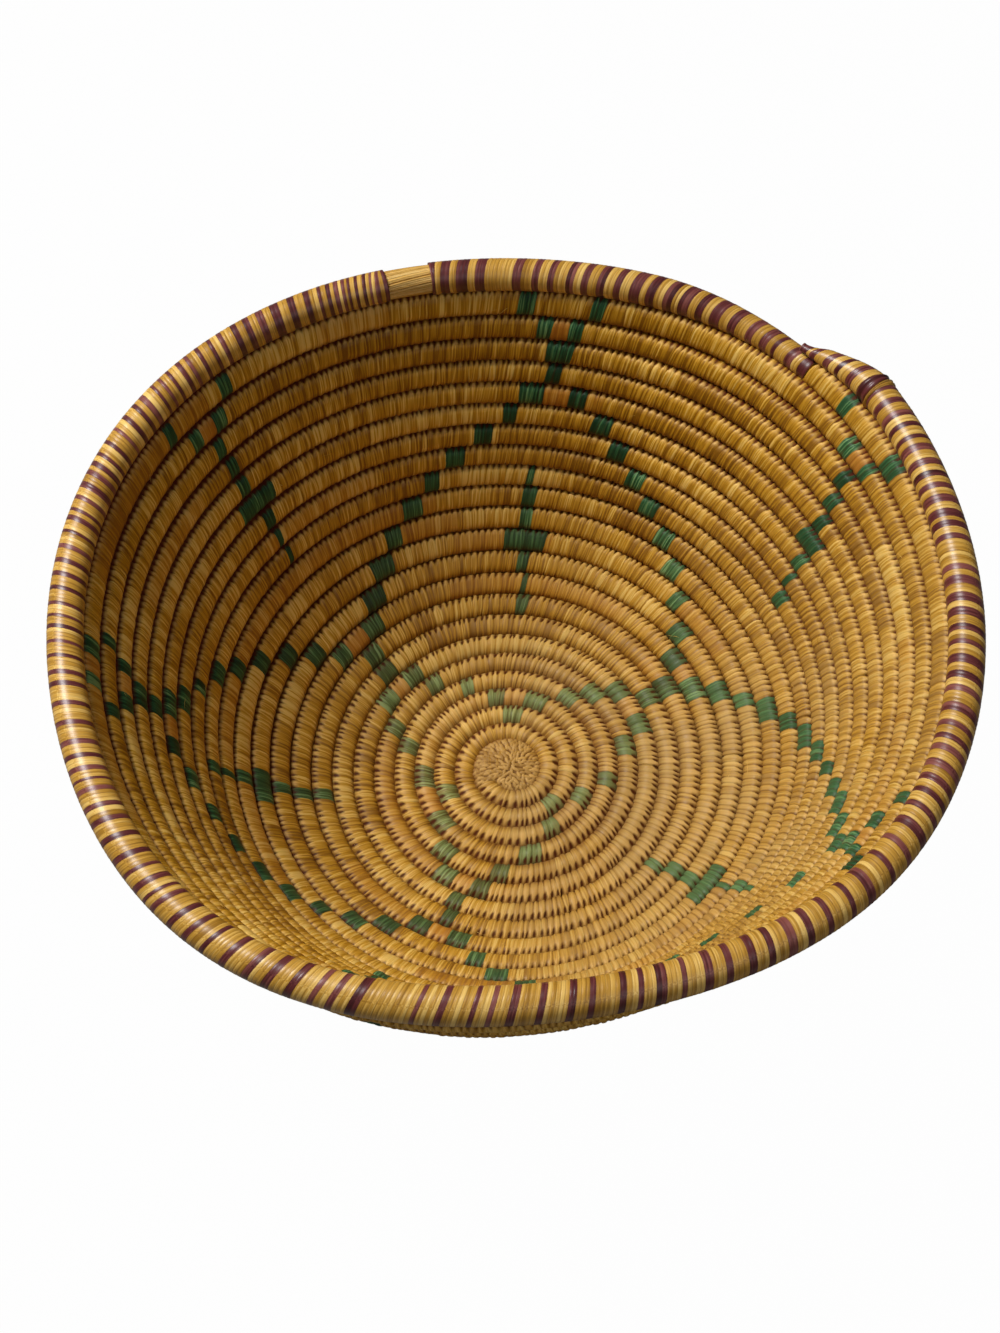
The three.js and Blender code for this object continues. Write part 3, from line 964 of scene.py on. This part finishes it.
# %% Many tubes in one mesh
def tube_mesh(name, tubes, tones):
    """One mesh of many closed tubes, each with its own tone."""
    points, faces, face_tones = [], [], []
    first = 0
    for rings, tube_tone in zip(tubes, tones):
        count, sides = rings.shape[:2]
        ring, side = np.meshgrid(np.arange(count - 1), np.arange(sides), indexing="ij")
        here, beside = first + ring * sides + side, first + ring * sides + (side + 1) % sides
        faces += np.stack([here, here + sides, beside + sides, beside], -1).reshape(-1, 4).tolist()
        faces.append(list(range(first, first + sides)))
        faces.append(list(range(first + count * sides - 1, first + (count - 1) * sides - 1, -1)))
        face_tones += [tube_tone] * ((count - 1) * sides + 2)
        points.append(rings.reshape(-1, 3))
        first += count * sides
    mesh = bpy.data.meshes.new(name)
    mesh.from_pydata((np.concatenate(points) * MM).tolist(), [], faces)
    mesh.shade_smooth()
    keep_numbers(mesh, "strand", "FACE", np.outer(face_tones, [1, 0, 0]))
    print(name, len(mesh.polygons), "faces")
    return add_object(name, mesh)


print("Tubes are joined into one mesh")

# %% Bundle and stems
CORE_RINGS = 145
CORE_SIDES = 12
CORE_DEPTH = 1.2
CORE_TONE = 0.4
STEMS = 40
STEM_RADIUS = 0.5
STEM_RADII = (0.8, 1.15)
STEM_CIRCLE = 4.5
STEM_DEPTH = 0.75
STEM_TUCK = 3.5
STEM_TWIST = math.radians(26)
STEM_SIDES = 6
STEM_RINGS = 14
STEM_STRAY = 0.25
TWIST_STRAY = 0.02
DEPTH_STRAY = 0.08
STEM_TONE = (0.55, 0.2)
core_turn = np.linspace(RIM_START, RIM_END, CORE_RINGS)[:, None]
core_around = TURN * np.arange(CORE_SIDES) / CORE_SIDES
bundle_tubes = [on_rim(core_turn + 0 * core_around, core_around, CORE_DEPTH)]
bundle_tones = [CORE_TONE]
tuck = share_of_turn(STEM_TUCK, WINDOW_TURN)
stem_turn = np.linspace(WINDOW_TURN - tuck, WINDOW_END + tuck, STEM_RINGS)[:, None]
stem_around = TURN * np.arange(STEM_SIDES) / STEM_SIDES
for stem in range(STEMS):
    place = TURN * (stem + draw.uniform(-STEM_STRAY, STEM_STRAY)) / STEMS
    twist = STEM_TWIST * np.linspace(-0.5, 0.5, STEM_RINGS) + draw.normal(0, TWIST_STRAY)
    depth = STEM_DEPTH + STEM_RADIUS + draw.normal(0, DEPTH_STRAY)
    thick = STEM_RADIUS * draw.uniform(*STEM_RADII)
    spin = place + twist[:, None] + thick * np.sin(stem_around) / STEM_CIRCLE
    under = depth - thick * np.cos(stem_around)
    bundle_tubes.append(on_rim(stem_turn + 0 * stem_around, spin, under))
    bundle_tones.append(draw.normal(*STEM_TONE))
bundle = tube_mesh("bare_bundle", bundle_tubes, bundle_tones)
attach(bundle, "root")
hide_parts("rim_core")

# %% [markdown]
# ## Loose ends
# Where a strand was joined on, its end often works loose and stands off the coil as a
# pale hair. Blender's own hair would not be exported as a mesh, so each is a thin tapered
# tube that starts under a stitch of the inner face.

# %% Loose ends
LOOSE_ENDS = 70
LOOSE_RADIUS = 0.14
LOOSE_RINGS = 6
LOOSE_SIDES = 4
LOOSE_TURNS = (6, 21.8)
LOOSE_FACES = (35, 110)
LOOSE_LENGTHS = (2.5, 8)
LOOSE_SLOPE = 0.7
LOOSE_STAND = (0.2, 1.3)
LOOSE_CURL = 1.5
LOOSE_TONES = (0.75, 1.1)
BLUNT_TIP = 1.05
ROOT_DEPTH = 0.2
FACE_UP = 0.9
FACE_OUT = 0.8
SLOPE_SHARE = 0.5
hair_share = np.linspace(0, 1, LOOSE_RINGS)[:, None]
hair_around = TURN * np.arange(LOOSE_SIDES) / LOOSE_SIDES
hairs, hair_tones = [], []
for hair in range(LOOSE_ENDS):
    turn = draw.uniform(*LOOSE_TURNS)
    face = math.radians(draw.uniform(*LOOSE_FACES))
    length = draw.uniform(*LOOSE_LENGTHS)
    slope = draw.normal(0, LOOSE_SLOPE)
    standing = draw.uniform(*LOOSE_STAND)
    half = (climb(turn + 1) - climb(turn)) / 2
    thin = LOOSE_RADIUS * (BLUNT_TIP - hair_share)
    along = length * hair_share * math.cos(slope)
    hair_turn = turn + (along + thin * np.cos(hair_around)) / round_length(turn)
    rise = half * math.cos(face) * FACE_UP + length * hair_share * math.sin(slope) * SLOPE_SHARE
    root = half * THICKNESS * abs(math.sin(face)) ** FACE_OUT - ROOT_DEPTH
    out = root + standing * hair_share**LOOSE_CURL + thin * np.sin(hair_around)
    hairs.append(on_coil(coil_middle(hair_turn), hair_turn, rise + 0 * hair_around, out))
    hair_tones.append(draw.uniform(*LOOSE_TONES))
loose_ends = tube_mesh("loose_ends", hairs, hair_tones)
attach(loose_ends, "root")
palm_pieces.append(loose_ends)

# %% [markdown]
# ## Colours and nodes
# Colours are written as they look on a screen and turned into the linear values that
# light is worked out in. One small function adds a node and joins it up. A node's inputs
# go by name or by number. In a colour mix, 0 is the share and 6 and 7 are the two colours.

# %% Helpers for materials
def colour(code):
    """A screen colour such as B8863A as linear red, green, blue and alpha."""
    parts = [int(code[n : n + 2], 16) / 255 for n in (0, 2, 4)]
    return [p / 12.92 if p <= 0.04045 else ((p + 0.055) / 1.055) ** 2.4 for p in parts] + [1]


def new_material(name):
    material = bpy.data.materials.new(name)
    material.use_nodes = True
    return material, material.node_tree


def add_node(tree, kind, inputs=None, **settings):
    """A node with its settings, and its inputs set to values or linked to sockets."""
    node = tree.nodes.new(kind)
    for name, value in settings.items():
        setattr(node, name, value)
    for name, value in (inputs or {}).items():
        if isinstance(value, bpy.types.NodeSocket):
            tree.links.new(value, node.inputs[name])
        else:
            node.inputs[name].default_value = value
    return node


def set_stops(ramp, stops):
    """Places and colours of a colour ramp."""
    elements = ramp.color_ramp.elements
    while len(elements) < len(stops):
        elements.new(0.5)
    for element, (place, code) in zip(elements, stops):
        element.position = place
        element.color = colour(code)


print("Gold in linear values:", [round(v, 3) for v in colour("B8863A")])

# %% [markdown]
# ## Palm strands
# The stitches are strips of split palm leaf, dried to a straw gold and left with a dull
# natural shine. Each strip keeps the leaf's fine lines along its length, about 0.6 mm
# apart, and its own tone. The cut edges go dark, and painted shade darkens the gaps
# between teeth and the grooves between turns, most on the left of the wall. Paler tips
# carry a painted highlight, and so do the rubbed crests. On the floor and the right of the
# wall the gold is worn to a greyer brown. One material does for all the stitches, because
# the mesh tells it what is where.
# Its IOR is that of dry plant fibre, about 1.45, with less than half of the usual gloss.

# %% Palm: numbers from the mesh
FIBRE_WIDTH = 0.6 * MM
FIBRE_LENGTH = 14 * MM
BLOTCH = 35 * MM
NOISE_SPAN = {"From Min": 0.3, "From Max": 0.7}


def kept_numbers(tree, name):
    """The three numbers that a mesh keeps under a name."""
    kept = add_node(tree, "ShaderNodeAttribute", attribute_name=name)
    return add_node(tree, "ShaderNodeSeparateXYZ", {0: kept.outputs["Vector"]})


def leaf_fibres(tree):
    """Fine lines along each strip of leaf."""
    run = add_node(tree, "ShaderNodeAttribute", attribute_name="run")
    fibre_place = add_node(
        tree, "ShaderNodeVectorMath",
        {0: run.outputs["Vector"], 1: (1 / FIBRE_WIDTH, 1 / FIBRE_LENGTH, 0)}, operation="MULTIPLY",
    )
    return add_node(
        tree, "ShaderNodeTexNoise",
        {"Vector": fibre_place.outputs[0], "Scale": 1.0, "Detail": 2.0}, noise_dimensions="2D",
    )


palm, tree = new_material("split_palm_leaf")
shader = tree.nodes["Principled BSDF"]
strand_parts = kept_numbers(tree, "strand")
form_parts = kept_numbers(tree, "form")
run_parts = kept_numbers(tree, "run")
fibre = leaf_fibres(tree)
place = add_node(tree, "ShaderNodeNewGeometry")
blotch = add_node(
    tree, "ShaderNodeTexNoise",
    {"Vector": place.outputs["Position"], "Scale": 1 / BLOTCH, "Detail": 3.0},
)
print("Palm reads strand, form and run")

# %% Palm: gold, rust and green
RUST_SHOWN = 0.6
fibre_tone = add_node(
    tree, "ShaderNodeMapRange",
    {"Value": fibre.outputs[0], **NOISE_SPAN, "To Min": -0.4, "To Max": 0.4},
)
blotch_tone = add_node(
    tree, "ShaderNodeMapRange",
    {"Value": blotch.outputs[0], **NOISE_SPAN, "To Min": -0.12, "To Max": 0.12},
)
tone_a = add_node(
    tree, "ShaderNodeMath", {0: strand_parts.outputs[0], 1: fibre_tone.outputs[0]}, operation="ADD"
)
tone_b = add_node(
    tree, "ShaderNodeMath", {0: tone_a.outputs[0], 1: blotch_tone.outputs[0]}, operation="ADD"
)
gold = add_node(tree, "ShaderNodeValToRGB", {0: tone_b.outputs[0]})
set_stops(gold, [(0.0, "80520A"), (0.35, "AC7912"), (0.65, "C49026"), (1.0, "E2BA60")])
green = add_node(tree, "ShaderNodeValToRGB", {0: tone_b.outputs[0]})
set_stops(green, [(0.0, "14301A"), (0.45, "234A2B"), (0.75, "3E6A3E"), (1.0, "749660")])
rusty = add_node(
    tree, "ShaderNodeMath", {0: strand_parts.outputs[2], 1: RUST_SHOWN}, operation="MULTIPLY"
)
gold_rust = add_node(
    tree, "ShaderNodeMix",
    {0: rusty.outputs[0], 6: gold.outputs[0], 7: colour("B06C22")}, data_type="RGBA",
)
print("Palm has", len(gold.color_ramp.elements), "golds and", len(green.color_ramp.elements), "greens")

# %% Palm: wear
wear = add_node(
    tree, "ShaderNodeMapRange",
    {"Value": blotch.outputs[0], "From Min": 0.35, "From Max": 0.65, "To Min": 0.2, "To Max": 0.75},
)
wear_here = add_node(
    tree, "ShaderNodeMath", {0: run_parts.outputs[2], 1: wear.outputs[0]}, operation="MULTIPLY"
)
worn_gold = add_node(
    tree, "ShaderNodeMix",
    {0: wear_here.outputs[0], 6: gold_rust.outputs[2], 7: colour("A07E45")}, data_type="RGBA",
)
worn_green = add_node(
    tree, "ShaderNodeMix",
    {0: wear_here.outputs[0], 6: green.outputs[0], 7: colour("567A4A")}, data_type="RGBA",
)
worn_palm = add_node(
    tree, "ShaderNodeMix",
    {0: strand_parts.outputs[1], 6: worn_gold.outputs[2], 7: worn_green.outputs[2]}, data_type="RGBA",
)
print("Wear hides up to", wear.inputs["To Max"].default_value, "of the colour")

# %% Palm: pale tips
# The pale tips are paler strand ends with a painted highlight, and on the crests the pale colour is a
# painted highlight only.
TIP_SHOWN = 0.8
tip_here = add_node(
    tree, "ShaderNodeMath", {0: form_parts.outputs[2], 1: TIP_SHOWN}, operation="MULTIPLY"
)
gold_tips = add_node(
    tree, "ShaderNodeMath", {0: 1.0, 1: strand_parts.outputs[1]}, operation="SUBTRACT"
)
tip_shown = add_node(
    tree, "ShaderNodeMath", {0: tip_here.outputs[0], 1: gold_tips.outputs[0]}, operation="MULTIPLY"
)
tipped = add_node(
    tree, "ShaderNodeMix",
    {0: tip_shown.outputs[0], 6: worn_palm.outputs[2], 7: colour("ECBE70")}, data_type="RGBA",
)
print("Only gold strands have pale tips")

# %% Palm: creases and grooves
# Creases are the dark cut edges and painted shade in the gaps between stitches; grooves are painted
# shade in the seams between turns.
crease = add_node(
    tree, "ShaderNodeMapRange",
    {"Value": form_parts.outputs[0], "From Min": 0.2, "From Max": 1.0, "To Min": 0.0, "To Max": 0.95},
)
creased = add_node(
    tree, "ShaderNodeMix",
    {0: crease.outputs[0], 6: tipped.outputs[2], 7: colour("4A1E06")}, data_type="RGBA",
)
groove = add_node(
    tree, "ShaderNodeMapRange",
    {"Value": form_parts.outputs[1], "From Min": 0.15, "From Max": 0.8, "To Min": 0.0, "To Max": 0.9},
)
grooved = add_node(
    tree, "ShaderNodeMix",
    {0: groove.outputs[0], 6: creased.outputs[2], 7: colour("541610")}, data_type="RGBA",
)
tree.links.new(grooved.outputs[2], shader.inputs["Base Color"])
print("Palm colour is joined up")

# %% Palm: shine and relief
shine = add_node(
    tree, "ShaderNodeMapRange",
    {"Value": fibre.outputs[0], **NOISE_SPAN, "To Min": 0.42, "To Max": 0.6},
)
relief = add_node(
    tree, "ShaderNodeBump",
    {"Height": fibre.outputs[0], "Strength": 0.5, "Distance": 0.00018},
)
tree.links.new(shine.outputs[0], shader.inputs["Roughness"])
tree.links.new(relief.outputs[0], shader.inputs["Normal"])
shader.inputs["IOR"].default_value = 1.45
shader.inputs["Specular IOR Level"].default_value = 0.22
for piece in palm_pieces:
    piece.data.materials.append(palm)
print("Palm is on", len(palm_pieces), "pieces")

# %% [markdown]
# ## Rim strands
# The binding is the same leaf, drawn tight and rubbed by hands, so it is smoother and
# catches long lights. The other stripes are dyed a dark maroon. It is a material of its
# own, because it has neither wear nor grooves.

# %% Binding: strands and fibres
binding, tree = new_material("polished_palm_binding")
shader = tree.nodes["Principled BSDF"]
strand_parts = kept_numbers(tree, "strand")
form_parts = kept_numbers(tree, "form")
fibre = leaf_fibres(tree)
fibre_tone = add_node(
    tree, "ShaderNodeMapRange",
    {"Value": fibre.outputs[0], **NOISE_SPAN, "To Min": -0.25, "To Max": 0.25},
)
tone_a = add_node(
    tree, "ShaderNodeMath", {0: strand_parts.outputs[0], 1: fibre_tone.outputs[0]}, operation="ADD"
)
print("Binding reads strand, form and run")

# %% Binding: stripes and shine
gold = add_node(tree, "ShaderNodeValToRGB", {0: tone_a.outputs[0]})
set_stops(gold, [(0.0, "94681C"), (0.5, "BE8E36"), (1.0, "E2BA66")])
maroon = add_node(tree, "ShaderNodeValToRGB", {0: tone_a.outputs[0]})
set_stops(maroon, [(0.0, "401618"), (0.5, "5E2929"), (1.0, "844B42")])
striped = add_node(
    tree, "ShaderNodeMix",
    {0: strand_parts.outputs[1], 6: gold.outputs[0], 7: maroon.outputs[0]}, data_type="RGBA",
)
# Painted shade in the seams between strands.
crease = add_node(
    tree, "ShaderNodeMapRange",
    {"Value": form_parts.outputs[0], "From Min": 0.4, "From Max": 1.0, "To Min": 0.0, "To Max": 0.4},
)
creased = add_node(
    tree, "ShaderNodeMix",
    {0: crease.outputs[0], 6: striped.outputs[2], 7: colour("3A1C10")}, data_type="RGBA",
)
relief = add_node(
    tree, "ShaderNodeBump", {"Height": fibre.outputs[0], "Strength": 0.3, "Distance": 0.0001}
)
tree.links.new(creased.outputs[2], shader.inputs["Base Color"])
tree.links.new(relief.outputs[0], shader.inputs["Normal"])
shader.inputs["Roughness"].default_value = 0.37
shader.inputs["IOR"].default_value = 1.48
for piece in rim_pieces:
    piece.data.materials.append(binding)
print("Binding is on", len(rim_pieces), "pieces")

# %% [markdown]
# ## Bare grass
# Dried grass stems are paler and duller than the palm, with fine lines along them, about
# 0.4 mm apart. In the window the stems lie nearly along X, so the lines are stretched that
# way and need no map. A noise pattern mostly lies in the middle of its range, which is
# stretched here as for the palm.

# %% Grass material
STEM_LINE = 0.4 * MM
STEM_STRETCH = 12
line_scale = (1 / STEM_LINE / STEM_STRETCH, 1 / STEM_LINE, 1 / STEM_LINE)
grass, tree = new_material("dried_grass_stems")
shader = tree.nodes["Principled BSDF"]
strand_parts = kept_numbers(tree, "strand")
place = add_node(tree, "ShaderNodeNewGeometry")
lines = add_node(
    tree, "ShaderNodeVectorMath",
    {0: place.outputs["Position"], 1: line_scale}, operation="MULTIPLY",
)
streak = add_node(tree, "ShaderNodeTexNoise", {"Vector": lines.outputs[0], "Scale": 1.0, "Detail": 2.0})
streak_tone = add_node(
    tree, "ShaderNodeMapRange",
    {"Value": streak.outputs[0], **NOISE_SPAN, "To Min": -0.2, "To Max": 0.2},
)
tone_a = add_node(
    tree, "ShaderNodeMath", {0: strand_parts.outputs[0], 1: streak_tone.outputs[0]}, operation="ADD"
)
straw = add_node(tree, "ShaderNodeValToRGB", {0: tone_a.outputs[0]})
set_stops(straw, [(0.0, "8E6522"), (0.5, "C4963F"), (1.0, "E0BC74")])
relief = add_node(
    tree, "ShaderNodeBump", {"Height": streak.outputs[0], "Strength": 0.3, "Distance": 0.0001}
)
tree.links.new(straw.outputs[0], shader.inputs["Base Color"])
tree.links.new(relief.outputs[0], shader.inputs["Normal"])
shader.inputs["Roughness"].default_value = 0.55
bundle.data.materials.append(grass)
print("Grass is on the bare bundle")

# %% [markdown]
# ## Floor, light and camera
# The floor is plain and grey. To the camera it is almost white by itself, so no extra
# light is needed for that. Soft light from the upper left leaves the left of the bowl's
# inside dark, as in the photograph, and a weak lamp from the front right fills the rest.

# %% Floor
FLOOR_SIZE = 6
FLOOR_DROP = 0.0003
WHITE_SHARE = 0.985
corners = [(-1, -1), (1, -1), (1, 1), (-1, 1)]
floor_points = [(x * FLOOR_SIZE, y * FLOOR_SIZE, -FLOOR_DROP) for x, y in corners]
floor_mesh = bpy.data.meshes.new("table_top")
floor_mesh.from_pydata(floor_points, [], [(0, 1, 2, 3)])
table_top = add_object("table_top", floor_mesh)
pale, tree = new_material("plain_table")
shader = tree.nodes["Principled BSDF"]
shader.inputs["Base Color"].default_value = colour("8A867E")
shader.inputs["Roughness"].default_value = 0.8
path = add_node(tree, "ShaderNodeLightPath")
seen_share = add_node(
    tree, "ShaderNodeMath", {0: path.outputs["Is Camera Ray"], 1: WHITE_SHARE}, operation="MULTIPLY"
)
white = add_node(tree, "ShaderNodeEmission", {"Color": (1, 1, 1, 1), "Strength": 1.0})
shown = add_node(
    tree, "ShaderNodeMixShader", {0: seen_share.outputs[0], 1: shader.outputs[0], 2: white.outputs[0]}
)
output = next(node for node in tree.nodes if node.type == "OUTPUT_MATERIAL")
tree.links.new(shown.outputs[0], output.inputs["Surface"])
floor_mesh.materials.append(pale)
print("Floor lies", round(FLOOR_DROP / MM, 2), "mm under the basket")

# %% World
AMBIENT = 0.08
scene = bpy.context.scene
scene.view_settings.view_transform = "Standard"
world = bpy.data.worlds.new("studio")
scene.world = world
world.use_nodes = True
tree = world.node_tree
backdrop = tree.nodes["Background"]
backdrop.inputs["Color"].default_value = (1, 1, 1, 1)
path = add_node(tree, "ShaderNodeLightPath")
level = add_node(
    tree, "ShaderNodeMapRange",
    {"Value": path.outputs["Is Camera Ray"], "To Min": AMBIENT, "To Max": 1.0},
)
tree.links.new(level.outputs[0], backdrop.inputs["Strength"])
print("Light from all round:", AMBIENT)

# %% Lamps
AIM = np.array([0, 0, 0.06])
LAMPS = [
    ("key_lamp", (-0.62, 0.41, 1.06), 0.5, 18.4),
    ("fill_lamp", (0.33, -0.57, 0.9), 0.8, 1.65),
]
for name, spot, size, power in LAMPS:
    lamp = bpy.data.lights.new(name, "AREA")
    lamp.shape = "DISK"
    lamp.size = size
    lamp.energy = power
    holder = add_object(name, lamp)
    holder.location = spot
    x, y, z = AIM - np.array(spot)
    tilt = math.atan2(math.hypot(x, y), -z)
    heading = math.atan2(y, x) - math.pi / 2
    holder.rotation_euler = (tilt, 0, heading)
print("Lamps:", [row[0] for row in LAMPS])

# %% [markdown]
# The camera's place, tilt and lens were fitted to the photograph together with the bowl.

# %% Camera
FOCAL_LENGTH = 47.44
SENSOR_HEIGHT = 36
CAMERA_PLACE = (-0.0043, -0.27772, 0.6032)
CAMERA_TILT = math.radians(28.063)
lens = bpy.data.cameras.new("camera")
lens.sensor_fit = "VERTICAL"
lens.sensor_height = SENSOR_HEIGHT
lens.lens = FOCAL_LENGTH
camera = add_object("camera", lens)
camera.location = CAMERA_PLACE
camera.rotation_euler = (CAMERA_TILT, 0, 0)
scene.camera = camera
print("Camera height:", camera.location.z)
